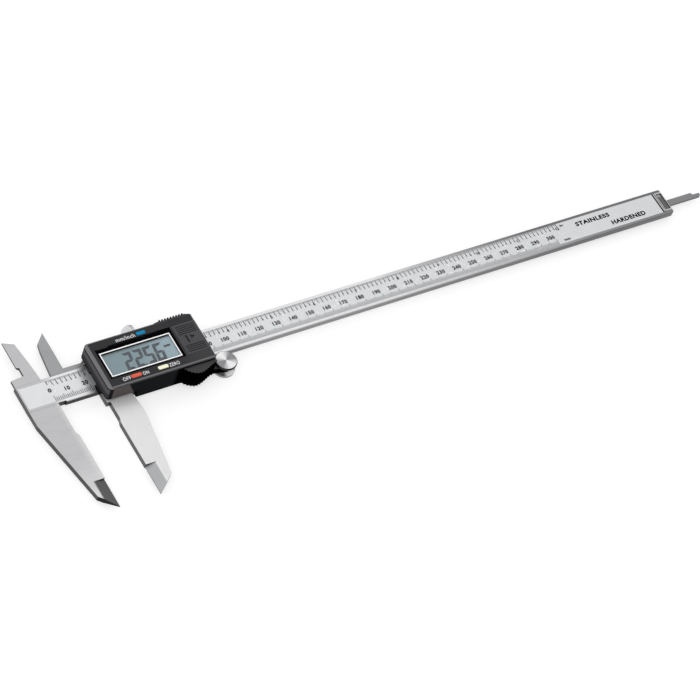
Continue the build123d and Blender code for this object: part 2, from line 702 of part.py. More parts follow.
def roller_upper_disc():
    """Upper disc in one piece with the shaft, whose thin tail carries the lower disc."""
    disc = drum(ROLLER_X, ROLLER_Y, RUNNING_GAP, UPPER_DISC_FRONT, ROLLER_R)
    disc = chamfer(disc.faces().sort_by(Axis.Z)[-1].edges(), 0.4)
    disc += drum(ROLLER_X, ROLLER_Y, LOWER_DISC_FRONT + 0.01, RUNNING_GAP, SHAFT_R)
    return disc + drum(ROLLER_X, ROLLER_Y, LOWER_DISC_BACK + 0.05, LOWER_DISC_FRONT + 0.1, SHAFT_TAIL_R)


def roller_lower_disc():
    disc = drum(ROLLER_X, ROLLER_Y, LOWER_DISC_BACK, LOWER_DISC_FRONT, ROLLER_R)
    disc = chamfer(disc.faces().sort_by(Axis.Z)[0].edges(), 0.25)
    return disc - drum(ROLLER_X, ROLLER_Y, LOWER_DISC_BACK - 1, LOWER_DISC_FRONT + 1, SHAFT_TAIL_R + 0.01)


def roller_spring_washer():
    """Wave washer that pushes the lower disc away from the arm and so pulls the upper disc down."""
    ring = drum(ROLLER_X, ROLLER_Y, LOWER_DISC_FRONT + 0.02, ARM_BACK - 0.02, 3.3)
    return ring - drum(ROLLER_X, ROLLER_Y, LOWER_DISC_FRONT - 1, ARM_BACK + 1, SHAFT_R + 0.1)


# ---------------------------------------------------------------- export
def nodes():
    yield "main_beam", main_beam()
    yield "scale_strip", scale_strip()
    yield "scale_label", scale_label()
    yield "end_stop_plate", end_stop_plate()
    yield "end_stop_screw", end_stop_screw()
    yield "slider_frame", slider_frame()
    yield "rear_cover_plate", rear_cover_plate()
    yield "rear_cover_screws", rear_cover_screws()
    yield "depth_rod", depth_rod()
    yield "depth_rod_rivets", depth_rod_rivets()
    yield "gib_strip", gib_strip()
    yield "gib_set_screws", gib_set_screws()
    yield "housing_shell", housing_shell()
    yield "housing_screws", housing_screws()
    yield "display_window", display_window()
    yield "lcd_glass", lcd_glass()
    yield "lcd_holder", lcd_holder()
    yield "zebra_strips", zebra_strips()
    yield "sensor_board", sensor_board()
    yield "board_screws", board_screws()
    yield "reading_chip", reading_chip()
    yield "board_components", board_components()
    yield "button_switches", button_switches()
    yield "battery", battery()
    yield "battery_plus_contact", battery_plus_contact()
    yield "battery_minus_contact", battery_minus_contact()
    for name in BUTTONS:
        yield name + "_button", button_cap(name)
        yield name + "_plunger", switch_plunger(name)
    yield "battery_cover", battery_cover()
    yield "lock_screw", lock_screw()
    yield "roller_upper_disc", roller_upper_disc()
    yield "roller_lower_disc", roller_lower_disc()
    yield "roller_spring_washer", roller_spring_washer()


os.makedirs("parts", exist_ok=True)
for node, shape in nodes():
    placed = Pos(-ORIGIN[0], -ORIGIN[1], -ORIGIN[2]) * shape
    export_step(placed, f"parts/{node}.step")
    print(f"{node:24s} {placed.volume:10.1f} mm3")
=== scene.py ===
import bpy
import bmesh
from mathutils import Matrix, Vector


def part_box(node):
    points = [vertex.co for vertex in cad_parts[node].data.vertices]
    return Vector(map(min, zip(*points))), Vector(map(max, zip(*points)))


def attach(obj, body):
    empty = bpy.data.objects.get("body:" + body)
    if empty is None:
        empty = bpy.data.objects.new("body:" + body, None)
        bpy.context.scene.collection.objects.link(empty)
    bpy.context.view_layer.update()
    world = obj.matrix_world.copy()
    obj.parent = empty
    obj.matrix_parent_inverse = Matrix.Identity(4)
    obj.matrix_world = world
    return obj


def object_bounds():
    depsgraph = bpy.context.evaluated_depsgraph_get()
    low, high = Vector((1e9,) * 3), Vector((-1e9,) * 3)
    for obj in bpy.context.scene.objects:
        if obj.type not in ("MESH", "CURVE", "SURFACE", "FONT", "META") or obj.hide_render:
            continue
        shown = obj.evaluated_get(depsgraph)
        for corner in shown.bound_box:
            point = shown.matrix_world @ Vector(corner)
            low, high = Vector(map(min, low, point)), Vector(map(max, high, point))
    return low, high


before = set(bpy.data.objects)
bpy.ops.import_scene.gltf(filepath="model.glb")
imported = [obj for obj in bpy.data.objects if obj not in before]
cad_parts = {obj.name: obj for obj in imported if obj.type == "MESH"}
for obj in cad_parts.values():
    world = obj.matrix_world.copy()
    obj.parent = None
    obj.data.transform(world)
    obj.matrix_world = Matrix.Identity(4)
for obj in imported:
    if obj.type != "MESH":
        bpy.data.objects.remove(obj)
cad_low, cad_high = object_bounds()

# ---------------------------------------------------------------- places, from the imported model
# The helper axes are in millimetres: x from the scale's zero line, y from the beam's centreline,
# z from the beam's front face.
MM = 0.001
INCH = 25.4
label_low, label_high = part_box("scale_label")
LABEL_MARGIN = 14.95        # plain part of the label before the zero line
LABEL_DEPTH = 0.05          # the label's face lies this far under the beam's face
ZERO = Vector((
    label_low.x + LABEL_MARGIN * MM,
    (label_low.y + label_high.y) / 2,
    label_high.z + LABEL_DEPTH * MM,
))
INK = 0.012                 # height of printed ink over its surface


def at(x, y, z):
    return ZERO + Vector((x, y, z)) * MM


def local_box(node):
    """A node's corners on the helper axes, in millimetres."""
    low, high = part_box(node)
    return (low - ZERO) / MM, (high - ZERO) / MM


# ---------------------------------------------------------------- small node helpers
class Maker:
    """A Principled material and the few node patterns that every finish here uses."""

    def __init__(self, name, colour, metallic=0.0, roughness=0.5):
        self.material = bpy.data.materials.new(name)
        self.material.use_nodes = True
        self.nodes = self.material.node_tree.nodes
        self.links = self.material.node_tree.links
        self.shader = self.nodes["Principled BSDF"]
        self.shader.inputs["Base Color"].default_value = (*colour, 1.0)
        self.shader.inputs["Metallic"].default_value = metallic
        self.shader.inputs["Roughness"].default_value = roughness
        self.colour = colour
        self.coordinates = self.nodes.new("ShaderNodeTexCoord")

    def noise(self, scale, stretch=(1, 1, 1), detail=3.0, roughness=0.55):
        """Noise whose features are about 1/scale millimetres, drawn out along an axis."""
        mapping = self.nodes.new("ShaderNodeMapping")
        mapping.inputs["Scale"].default_value = [scale * s / MM for s in stretch]
        self.links.new(self.coordinates.outputs["Object"], mapping.inputs["Vector"])
        texture = self.nodes.new("ShaderNodeTexNoise")
        texture.inputs["Scale"].default_value = 1.0
        texture.inputs["Detail"].default_value = detail
        texture.inputs["Roughness"].default_value = roughness
        self.links.new(mapping.outputs["Vector"], texture.inputs["Vector"])
        return texture.outputs["Fac"]

    def spread(self, value, low, high):
        """A 0-to-1 value mapped between two limits."""
        node = self.nodes.new("ShaderNodeMapRange")
        node.inputs["From Min"].default_value = 0.25
        node.inputs["From Max"].default_value = 0.75
        node.inputs["To Min"].default_value = low
        node.inputs["To Max"].default_value = high
        self.links.new(value, node.inputs["Value"])
        return node.outputs["Result"]

    def vary_roughness(self, value, low, high):
        self.links.new(self.spread(value, low, high), self.shader.inputs["Roughness"])

    def blend(self, value, first, second):
        """Colour between two colours or sockets."""
        node = self.nodes.new("ShaderNodeMix")
        node.data_type = "RGBA"
        for socket, colour in ((node.inputs[6], first), (node.inputs[7], second)):
            if isinstance(colour, bpy.types.NodeSocket):
                self.links.new(colour, socket)
            else:
                socket.default_value = (*colour, 1.0)
        self.links.new(value, node.inputs[0])
        return node.outputs[2]

    def vary_colour(self, value, amount):
        """Base colour a little darker and lighter than the plain one."""
        dark = [c * (1 - amount) for c in self.colour]
        light = [min(1.0, c * (1 + amount)) for c in self.colour]
        mixed = self.blend(self.spread(value, 0, 1), dark, light)
        self.links.new(mixed, self.shader.inputs["Base Color"])
        return mixed

    def maths(self, operation, first, second=None):
        node = self.nodes.new("ShaderNodeMath")
        node.operation = operation
        for socket, value in zip(node.inputs, (first, second)):
            if isinstance(value, bpy.types.NodeSocket):
                self.links.new(value, socket)
            elif value is not None:
                socket.default_value = value
        return node.outputs["Value"]

    def ramp(self, value, start, end):
        """0 below the start, 1 past the end."""
        node = self.nodes.new("ShaderNodeMapRange")
        node.inputs["From Min"].default_value = start
        node.inputs["From Max"].default_value = end
        self.links.new(value, node.inputs["Value"])
        return node.outputs["Result"]

    def along(self, axis, start, end):
        """Ramp between two places on a helper axis, in millimetres."""
        split = self.nodes.new("ShaderNodeSeparateXYZ")
        self.links.new(self.coordinates.outputs["Object"], split.inputs["Vector"])
        origin = ZERO["XYZ".index(axis)]
        return self.ramp(split.outputs[axis], origin + start * MM, origin + end * MM)

    def facing(self, axis):
        """Size of the surface normal's part along an axis."""
        split = self.nodes.new("ShaderNodeSeparateXYZ")
        self.links.new(self.coordinates.outputs["Normal"], split.inputs["Vector"])
        return self.maths("ABSOLUTE", split.outputs[axis])

    def bump(self, value, strength, distance=0.02, rounding=0.0):
        """Bump in millimetres, on edges softened by a small rounding."""
        node = self.nodes.new("ShaderNodeBump")
        node.inputs["Strength"].default_value = strength
        node.inputs["Distance"].default_value = distance * MM
        self.links.new(value, node.inputs["Height"])
        if rounding:
            bevel = self.nodes.new("ShaderNodeBevel")
            bevel.samples = 4
            bevel.inputs["Radius"].default_value = rounding * MM
            self.links.new(bevel.outputs["Normal"], node.inputs["Normal"])
        self.links.new(node.outputs["Normal"], self.shader.inputs["Normal"])


def shaded(maker, tone, shades):
    """A tone with stretches of painted shade and painted light laid over it.

    Each shade is a colour and the ramps, (axis, start, end), whose product says how much of it
    shows.
    """
    for colour, ramps in shades:
        share = maker.along(*ramps[0])
        for ramp in ramps[1:]:
            share = maker.maths("MULTIPLY", share, maker.along(*ramp))
        tone = maker.blend(share, tone, colour)
    return tone


def ground_steel(
    name, face, edge, grain=(0.03, 1.0, 1.0), roughness=(0.24, 0.42), metallic=1.0,
    shades=(), edge_shades=(),
):
    """Surface-ground steel: bright grained faces; edges darker from milling and painted shade."""
    maker = Maker(name, face, metallic=metallic)
    maker.shader.inputs["Anisotropic"].default_value = 0.35
    fine = maker.noise(6.0, grain, detail=4.0)
    broad = maker.noise(0.12, (0.3, 1.0, 1.0), detail=2.0)
    dark = (0.0, 0.0, 0.0)
    clouded = maker.blend(maker.spread(broad, 0, 0.06), shaded(maker, face, shades), dark)
    brushed = maker.blend(maker.spread(fine, 0, 0.08), clouded, dark)
    # edge colour: darker from the milling and from painted shade, with painted light and shade
    # along the part
    milled_and_shaded = shaded(maker, edge, edge_shades)
    mixed = maker.blend(maker.ramp(maker.facing("Z"), 0.35, 0.9), milled_and_shaded, brushed)
    maker.links.new(mixed, maker.shader.inputs["Base Color"])
    maker.vary_roughness(fine, *roughness)
    maker.bump(fine, 0.25, 0.004, rounding=0.12)
    return maker.material


RING_RATE = 12.0                # radians of the rings' wave per millimetre


def turned_steel(name, colour, shade, rim, metallic=1.0, fan=(-0.75, 0.8)):
    """Steel turned on a lathe: fine rings round z, a painted highlight in two wings over painted
    shade, and the edge round it in a tone painted as shade.

    The highlight's two wings lie at right angles to the direction the light comes from.
    """
    maker = Maker(name, colour, metallic=metallic, roughness=0.24)
    maker.shader.inputs["Anisotropic"].default_value = 0.6
    tangent = maker.nodes.new("ShaderNodeTangent")
    tangent.direction_type = "RADIAL"
    tangent.axis = "Z"
    maker.links.new(tangent.outputs["Tangent"], maker.shader.inputs["Tangent"])
    split = maker.nodes.new("ShaderNodeSeparateXYZ")
    maker.links.new(maker.coordinates.outputs["Object"], split.inputs["Vector"])
    away_x = maker.maths("SUBTRACT", split.outputs["X"], disc_centre.x)
    away_y = maker.maths("SUBTRACT", split.outputs["Y"], disc_centre.y)
    angle = maker.maths("ARCTAN2", away_y, away_x)
    doubled = maker.maths("MULTIPLY", maker.maths("SUBTRACT", angle, FAN_ANGLE), 2.0)
    share = maker.ramp(maker.maths("COSINE", doubled), *fan)
    squared_x = maker.maths("MULTIPLY", away_x, away_x)
    squared_y = maker.maths("MULTIPLY", away_y, away_y)
    distance = maker.maths("SQRT", maker.maths("ADD", squared_x, squared_y))
    rings = maker.maths("SINE", maker.maths("MULTIPLY", distance, RING_RATE / MM))
    # painted highlight in two wings, painted shade between them
    painted_fan = maker.blend(share, shade, colour)
    ringed = maker.blend(maker.spread(rings, 0, 0.05), painted_fan, (0.0, 0.0, 0.0))
    # faces not turned up take the edge tone, painted as shade
    turned_up = maker.ramp(maker.facing("Z"), 0.75, 0.97)
    maker.links.new(maker.blend(turned_up, rim, ringed), maker.shader.inputs["Base Color"])
    maker.bump(rings, 0.08, 0.002, rounding=0.1)
    return maker.material


def plain_metal(name, colour, roughness=(0.25, 0.45), scale=3.0, amount=0.1):
    """Small plated or milled parts."""
    maker = Maker(name, colour, metallic=1.0)
    value = maker.noise(scale)
    maker.vary_colour(value, amount)
    maker.vary_roughness(value, *roughness)
    maker.bump(value, 0.2, 0.006, rounding=0.08)
    return maker.material


def moulded_plastic(
    name, colour, roughness=(0.4, 0.6), grain=5.0, depth=0.02, specular=0.4, groove_shade=None
):
    """Moulded plastic with a fine spark-eroded grain; painted shade darkens grooves between two
    heights.
    """
    maker = Maker(name, colour)
    maker.shader.inputs["Specular IOR Level"].default_value = specular
    grains = maker.noise(grain, detail=2.0, roughness=0.7)
    cloud = maker.noise(0.1, detail=2.0)
    mottled = maker.vary_colour(cloud, 0.18)
    # painted shade in the grooves
    if groove_shade:
        maker.links.new(
            maker.blend(maker.along("Z", *groove_shade), mottled, (0.0, 0.0, 0.0)),
            maker.shader.inputs["Base Color"],
        )
    maker.vary_roughness(grains, *roughness)
    maker.bump(grains, 0.5, depth, rounding=0.2)
    return maker.material


# Where the housing's painted light and painted shade zones begin and end.
# A pair that runs downwards grows towards the smaller value.
LEFT_WALL = ("X", 30.0, 29.0)
LEFT_FOOT_SHADE = ("Z", 2.6, 1.6)
LEFT_LIT_BAND = ("Z", 5.0, 5.8)
LEFT_BEVEL_SHADOW_LINE = ("Z", 8.5, 8.8)
JAW_REFLECTION_START = ("X", 24.9, 25.3)
JAW_REFLECTION_ACROSS = ("X", 28.2, 40.2)
JAW_REFLECTION_UP = ("Z", 0.0, 24.0)
JAW_REFLECTION_LIMIT = (0.87, 0.83)   # where the sum of those two ends the painted reflection
LOWER_WALL_LIGHT = ("X", 62.0, 60.0)
FRONT_BEVEL_HIGHLIGHT = ("Z", 9.95, 10.1)
LEFT_BEVEL_HIGHLIGHT = ("X", 25.5, 24.5)
LIT_CORNER = [("X", 60.0, 76.0), ("Y", -4.0, -10.0)]
ROLLER_ARM_LIGHT = ("Y", -15.0, -15.1)


def housing_black(name, front, shaded_side, jaw_reflection):
    """The housing's plastic: grained front; painted light and shade on bevels, sides and left end.
    """
    maker = Maker(name, front)
    grains = maker.noise(5.0, detail=2.0, roughness=0.7)
    cloud = maker.noise(0.1, detail=2.0)
    mottled = maker.vary_colour(cloud, 0.18)
    flat = maker.facing("Z")
    turned_up = maker.ramp(flat, 0.15, 0.6)
    # left end wall: painted shade at the foot, two painted lit bands and a painted shadow line
    # under the bevel
    left_end = maker.maths(
        "MULTIPLY", maker.ramp(maker.facing("X"), 0.5, 0.8), maker.along(*LEFT_WALL)
    )
    painted_end_bands = shaded(maker, (0.04, 0.04, 0.042), [
        ((0.002, 0.002, 0.002), [LEFT_FOOT_SHADE]),
        ((0.085, 0.085, 0.09), [LEFT_LIT_BAND]),
        ((0.012, 0.012, 0.013), [LEFT_BEVEL_SHADOW_LINE]),
    ])
    # the lower wall over the moving jaw carries a painted reflection of the jaw up to a slanted
    # line
    slanted = maker.maths("ADD", maker.along(*JAW_REFLECTION_ACROSS), maker.along(*JAW_REFLECTION_UP))
    reflection_share = maker.maths(
        "MULTIPLY", maker.along(*JAW_REFLECTION_START), maker.ramp(slanted, *JAW_REFLECTION_LIMIT)
    )
    # lower walls painted near-black as shade; their left part lighter as painted light
    shaded_low_side = shaded(maker, shaded_side, [((0.01, 0.0115, 0.012), [LOWER_WALL_LIGHT])])
    wall = maker.blend(left_end, maker.blend(reflection_share, shaded_low_side, jaw_reflection), painted_end_bands)
    bevelled = maker.maths("MULTIPLY", maker.ramp(flat, 0.97, 0.9), maker.ramp(flat, 0.6, 0.7))
    # bevels painted lighter than the face, with painted highlights on the upper front bevel and the
    # left bevel
    bevel = shaded(maker, (0.045, 0.045, 0.048), [
        ((0.15, 0.15, 0.155), [FRONT_BEVEL_HIGHLIGHT]),
        ((0.13, 0.13, 0.135), [LEFT_BEVEL_HIGHLIGHT]),
    ])
    # painted light on the front's lower right corner and on the roller arm's front
    face = shaded(maker, mottled, [
        ((0.03, 0.03, 0.032), LIT_CORNER),
        ((0.032, 0.032, 0.034), [ROLLER_ARM_LIGHT]),
    ])
    upper = maker.blend(bevelled, face, bevel)
    maker.links.new(maker.blend(turned_up, wall, upper), maker.shader.inputs["Base Color"])
    sheen = maker.nodes.new("ShaderNodeMapRange")
    sheen.inputs["To Min"].default_value = 0.0
    sheen.inputs["To Max"].default_value = 0.3
    maker.links.new(turned_up, sheen.inputs["Value"])
    maker.links.new(sheen.outputs["Result"], maker.shader.inputs["Specular IOR Level"])
    maker.vary_roughness(grains, 0.35, 0.55)
    maker.bump(grains, 0.5, 0.02, rounding=0.2)
    return maker.material


def printed_ink(name, colour, specular=0.05):
    """Screen-printed ink, a little uneven in density."""
    maker = Maker(name, colour, roughness=0.55)
    maker.shader.inputs["Specular IOR Level"].default_value = specular
    value = maker.noise(2.5, detail=2.0)
    maker.vary_colour(value, 0.15)
    maker.vary_roughness(value, 0.45, 0.65)
    return maker.material


def label_foil(name, colour):
    """Satin silver foil of the scale label."""
    maker = Maker(name, colour, metallic=0.7)
    maker.shader.inputs["Specular IOR Level"].default_value = 0.4
    fine = maker.noise(4.0, (0.15, 1, 1), detail=3.0)
    maker.vary_colour(maker.noise(0.25, detail=2.0), 0.02)
    maker.vary_roughness(fine, 0.22, 0.28)
    maker.bump(fine, 0.05, 0.001)
    return maker.material


# where the display's painted reflection brightens towards the right
DISPLAY_REFLECTION_SWEEP = ("X", 45.0, 66.0)


def display_panel(name, left, right):
    """Reflective grey display, a little lighter towards its right end by a painted reflection."""
    maker = Maker(name, left)
    maker.shader.inputs["Specular IOR Level"].default_value = 0.15
    reflection_sweep = maker.blend(maker.along(*DISPLAY_REFLECTION_SWEEP), left, right)
    cloud = maker.noise(0.35, detail=2.0)
    mottled = maker.blend(maker.spread(cloud, 0, 0.12), reflection_sweep, (0.2, 0.26, 0.28))
    maker.links.new(mottled, maker.shader.inputs["Base Color"])
    maker.vary_roughness(cloud, 0.18, 0.28)
    return maker.material


def clear_window(name):
    """Thin clear pane with faint wiping marks."""
    maker = Maker(name, (0.8, 0.84, 0.85), roughness=0.05)
    maker.shader.inputs["Alpha"].default_value = 0.06
    maker.shader.inputs["Specular IOR Level"].default_value = 0.2
    smear = maker.noise(0.2, (0.3, 1, 1), detail=3.0)
    maker.vary_roughness(smear, 0.03, 0.12)
    return maker.material


def paint(node, material):
    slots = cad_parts[node].data.materials
    slots.clear()
    slots.append(material)


# ---------------------------------------------------------------- finishes of the CAD nodes
# edge tone: darker from the milling and from painted shade
STEEL_SHADED_EDGE = (0.06, 0.06, 0.063)
disc_low, disc_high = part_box("roller_upper_disc")
disc_centre = (disc_low + disc_high) / 2
FAN_ANGLE = 1.9             # radians; the way the discs' painted highlight points
# zones of painted light and painted shade on the beam, its fixed jaws and the slider's jaw
FIXED_JAWS_SHADE = ("X", 5.0, -2.0)
JAW_LOWER_HALF = ("Y", -40.0, -62.0)
JAW_BEVEL_SHADE = [("X", -5.0, -4.0), ("Y", -54.0, -54.4), ("X", 4.0, 3.0)]
FAR_HALF_SHADE = ("X", 190.0, 320.0)
FAR_LOWER_RAIL_SHADE = [("X", 300.0, 350.0), ("Y", -6.2, -6.4)]
FAR_UPPER_RAIL_SHADE = [("X", 190.0, 290.0), ("Y", 6.2, 6.4)]
EDGE_SHADE_BETWEEN_JAWS = [("X", 1.6, 2.2), ("X", 60.0, 20.0)]
EDGE_LIGHT_PAST_HOUSING = ("X", 60.0, 120.0)
EDGE_LIGHT_FAR_HALF = ("X", 170.0, 300.0)
JAW_TIP_EDGE_SHADE = [("Y", -62.4, -62.9), ("X", 1.4, 1.2)]
INSIDE_JAW_EDGE_SHADOW = [("Y", 11.0, 12.0), ("X", 0.0, -1.0)]
STOP_SUNK_MIDDLE_SHADE = ("Z", 0.2, 0.0)
MOVING_INSIDE_JAW_SHADE = [("Z", -1.2, -1.9), ("Y", 8.0, 8.05)]
MOVING_JAW_BEVEL_SHADE = [("Z", -0.25, -0.5), ("Y", -54.1, -54.2)]
MOVING_JAW_NOTCH_SHADOW = [("Y", -53.9, -54.1), ("Y", -54.5, -54.3)]

beam_steel = ground_steel(
    "beam_steel", (0.86, 0.86, 0.87), STEEL_SHADED_EDGE,
    # painted light falling off along the beam: painted shade on the fixed jaws, their bevel, the
    # far half and its rails
    shades=[
        ((0.56, 0.56, 0.57), [FIXED_JAWS_SHADE]),
        ((0.72, 0.72, 0.73), [FIXED_JAWS_SHADE, JAW_LOWER_HALF]),
        ((0.2, 0.2, 0.205), JAW_BEVEL_SHADE),
        ((0.36, 0.36, 0.37), [FAR_HALF_SHADE]),
        ((0.3, 0.3, 0.31), FAR_LOWER_RAIL_SHADE),
        ((0.21, 0.21, 0.215), FAR_UPPER_RAIL_SHADE),
    ],
    # painted shade on the edges between the jaws, at the jaw tip and inside jaw; painted light on
    # the edges past the housing, fading over the far half
    edge_shades=[
        ((0.02, 0.02, 0.02), EDGE_SHADE_BETWEEN_JAWS),
        ((0.23, 0.23, 0.235), [EDGE_LIGHT_PAST_HOUSING]),
        ((0.13, 0.13, 0.135), [EDGE_LIGHT_FAR_HALF]),
        ((0.012, 0.012, 0.012), JAW_TIP_EDGE_SHADE),
        ((0.008, 0.008, 0.008), INSIDE_JAW_EDGE_SHADOW),
    ],
)
# the stop plate's sunk middle is painted darker as shade
stop_steel = ground_steel(
    "stop_steel", (0.66, 0.66, 0.67), STEEL_SHADED_EDGE,
    shades=[((0.17, 0.17, 0.17), [STOP_SUNK_MIDDLE_SHADE])],
)
# the slider's edges are painted near-black as shade; painted shade on the sunk inside jaw, the
# jaw's bevel and the wall of the knife notch
slider_steel = ground_steel(
    "slider_steel", (0.78, 0.78, 0.78), (0.04, 0.04, 0.042), (1.0, 0.03, 1.0), metallic=0.4,
    shades=[
        ((0.24, 0.245, 0.255), MOVING_INSIDE_JAW_SHADE),
        ((0.4, 0.405, 0.415), MOVING_JAW_BEVEL_SHADE),
    ],
    edge_shades=[((0.003, 0.003, 0.003), MOVING_JAW_NOTCH_SHADOW)],
)
rod_steel = ground_steel("rod_steel", (0.3, 0.3, 0.31), (0.12, 0.12, 0.125))
cover_steel = ground_steel("cover_steel", (0.55, 0.55, 0.56), STEEL_SHADED_EDGE)
screw_steel = plain_metal("screw_steel", (0.42, 0.42, 0.43))
knob_steel = plain_metal("knob_steel", (0.68, 0.68, 0.69), (0.2, 0.35))
# upper disc: painted highlight wings, painted shade between them, edge painted near-black as shade
roller_steel = turned_steel(
    "roller_steel", (0.84, 0.84, 0.85), shade=(0.26, 0.26, 0.27), rim=(0.02, 0.02, 0.021)
)
# lower disc's top face: painted highlight on its outer right, painted shade elsewhere under the
# upper disc
lower_disc_steel = turned_steel(
    "lower_disc_steel", (0.95, 0.95, 0.96), shade=(0.14, 0.14, 0.145), rim=(0.25, 0.25, 0.26),
    metallic=0.0, fan=(0.0, 0.7),
)
# front tone, sides painted near-black as shade, painted reflection of the jaw on the wall over it
housing_plastic = housing_black(
    "housing_plastic", (0.014, 0.0145, 0.0165), (0.0005, 0.0005, 0.0005), (0.09, 0.078, 0.078)
)
COVER_GROOVE_SHADE = (10.4, 10.2)    # heights between which the cover's grooves are painted dark as shade
cover_plastic = moulded_plastic(
    "cover_plastic", (0.04, 0.04, 0.045), grain=4.0, depth=0.03, specular=0.5,
    groove_shade=COVER_GROOVE_SHADE,
)
white_plastic = moulded_plastic("white_plastic", (0.6, 0.6, 0.57), grain=3.0)
black_plastic = moulded_plastic("black_plastic", (0.03, 0.03, 0.03), grain=3.0)
rubber = moulded_plastic("conductive_rubber", (0.1, 0.1, 0.1), (0.7, 0.9), grain=2.0)
board_green = moulded_plastic("board_green", (0.02, 0.12, 0.05), (0.25, 0.4), grain=2.0, depth=0.01)
resin = moulded_plastic("chip_resin", (0.01, 0.01, 0.01), (0.1, 0.25), grain=1.0, depth=0.01)
SMOOTH = {"roughness": (0.3, 0.45), "depth": 0.008}
button_red = moulded_plastic("button_red", (0.66, 0.1, 0.062), specular=0.2, **SMOOTH)
button_yellow = moulded_plastic("button_yellow", (0.88, 0.87, 0.64), specular=0.2, **SMOOTH)
button_blue = moulded_plastic("button_blue", (0.003, 0.2, 0.4), specular=0.15, **SMOOTH)
label = label_foil("label_foil", (0.7, 0.71, 0.72))
display = display_panel("display_panel", (0.15, 0.235, 0.262), (0.27, 0.38, 0.435))
window = clear_window("window_clear")
bronze = plain_metal("gib_bronze", (0.5, 0.36, 0.18))
nickel = plain_metal("contact_nickel", (0.6, 0.57, 0.5))
cell_steel = plain_metal("battery_steel", (0.62, 0.62, 0.62), scale=1.0, amount=0.05)

FINISHES = {
    "main_beam": beam_steel,
    "scale_strip": board_green,
    "scale_label": label,
    "end_stop_plate": stop_steel,
    "end_stop_screw": screw_steel,
    "slider_frame": slider_steel,
    "rear_cover_plate": cover_steel,
    "rear_cover_screws": screw_steel,
    "depth_rod": rod_steel,
    "depth_rod_rivets": screw_steel,
    "gib_strip": bronze,
    "gib_set_screws": screw_steel,
    "housing_shell": housing_plastic,
    "housing_screws": screw_steel,
    "display_window": window,
    "lcd_glass": display,
    "lcd_holder": white_plastic,
    "zebra_strips": rubber,
    "sensor_board": board_green,
    "board_screws": screw_steel,
    "reading_chip": resin,
    "board_components": cell_steel,
    "button_switches": black_plastic,
    "battery": cell_steel,
    "battery_plus_contact": nickel,
    "battery_minus_contact": nickel,
    "on_off_button": button_red,
    "on_off_plunger": white_plastic,
    "zero_button": button_yellow,
    "zero_plunger": white_plastic,
    "unit_button": button_blue,
    "unit_plunger": white_plastic,
    "battery_cover": cover_plastic,
    "lock_screw": knob_steel,
    "roller_upper_disc": roller_steel,
    "roller_lower_disc": lower_disc_steel,
    "roller_spring_washer": screw_steel,
}
for node, material in FINISHES.items():
    paint(node, material)


# ---------------------------------------------------------------- print and lettering
class Print:
    """Flat ink shapes on one surface, gathered into one piece."""

    def __init__(self, height):
        self.mesh = bmesh.new()
        self.height = height + INK

    def quad(self, x0, x1, y0, y1):
        corners = [(x0, y0), (x1, y0), (x1, y1), (x0, y1)]
        self.polygon(corners)

    def polygon(self, corners):
        self.mesh.faces.new([self.mesh.verts.new(at(x, y, self.height)) for x, y in corners])

    def ring(self, x0, x1, y0, y1, width):
        """Rectangular frame, given by its outer size."""
        self.quad(x0, x1, y0, y0 + width)
        self.quad(x0, x1, y1 - width, y1)
        self.quad(x0, x0 + width, y0 + width, y1 - width)
        self.quad(x1 - width, x1, y0 + width, y1 - width)

    def text(self, words, x0, x1, y0, y1, weight=0.0, stretch=1.0, spacing=1.0):
        """Words between two heights; without a left limit they keep their width times stretch."""
        curve = bpy.data.curves.new("words", "FONT")
        curve.body = words
        curve.offset = weight
        curve.space_character = spacing
        curve.resolution_u = 3
        carrier = bpy.data.objects.new("words", curve)
        flat = bpy.data.meshes.new_from_object(carrier)
        xs = [v.co.x for v in flat.vertices]
        ys = [v.co.y for v in flat.vertices]
        up = (y1 - y0) / (max(ys) - min(ys))
        if x0 is None:
            x0 = x1 - (max(xs) - min(xs)) * up * stretch
        across = (x1 - x0) / (max(xs) - min(xs))
        for v in flat.vertices:
            v.co = at(
                x0 + (v.co.x - min(xs)) * across,
                y0 + (v.co.y - min(ys)) * up,
                self.height,
            )
        self.mesh.from_mesh(flat)
        bpy.data.objects.remove(carrier)
        bpy.data.curves.remove(curve)
        bpy.data.meshes.remove(flat)

    def piece(self, name, material, body):
        mesh = bpy.data.meshes.new(name)
        self.mesh.to_mesh(mesh)
        self.mesh.free()
        mesh.materials.append(material)
        made = bpy.data.objects.new(name, mesh)
        bpy.context.scene.collection.objects.link(made)
        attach(made, body)
        return made


label_ink = printed_ink("label_ink", (0.002, 0.002, 0.003), 0.0)
white_ink = printed_ink("white_ink", (0.97, 0.98, 0.98))
black_ink = printed_ink("black_ink", (0.002, 0.002, 0.0025), 0.0)

LABEL_BOTTOM = -6.35
LABEL_TOP = 6.35
DIGIT_HEIGHT = 2.5
MM_TICK_HALF = 0.16
INCH_TICK_HALF = 0.1
BOLD = 0.05                 # how much the black lettering's strokes are thickened
EDGE_GAP = 0.1              # between the label's edge and the graduations
METRIC_LINES = ((10, 3.5), (5, 2.9), (1, 2.3))      # every so many lines, and their length
INCH_LINES = ((4, 2.3), (2, 1.4), (1, 0.8))
METRIC_FIGURES = -2.1       # foot of the metric figures
ZERO_FIGURE = (-1.4, 0.55, -0.6)                    # left, right and foot of the first figure


def tick_length(index, steps):
    """Length of a graduation: the first step that divides its index wins."""
    for every, length in steps:
        if index % every == 0:
            return length


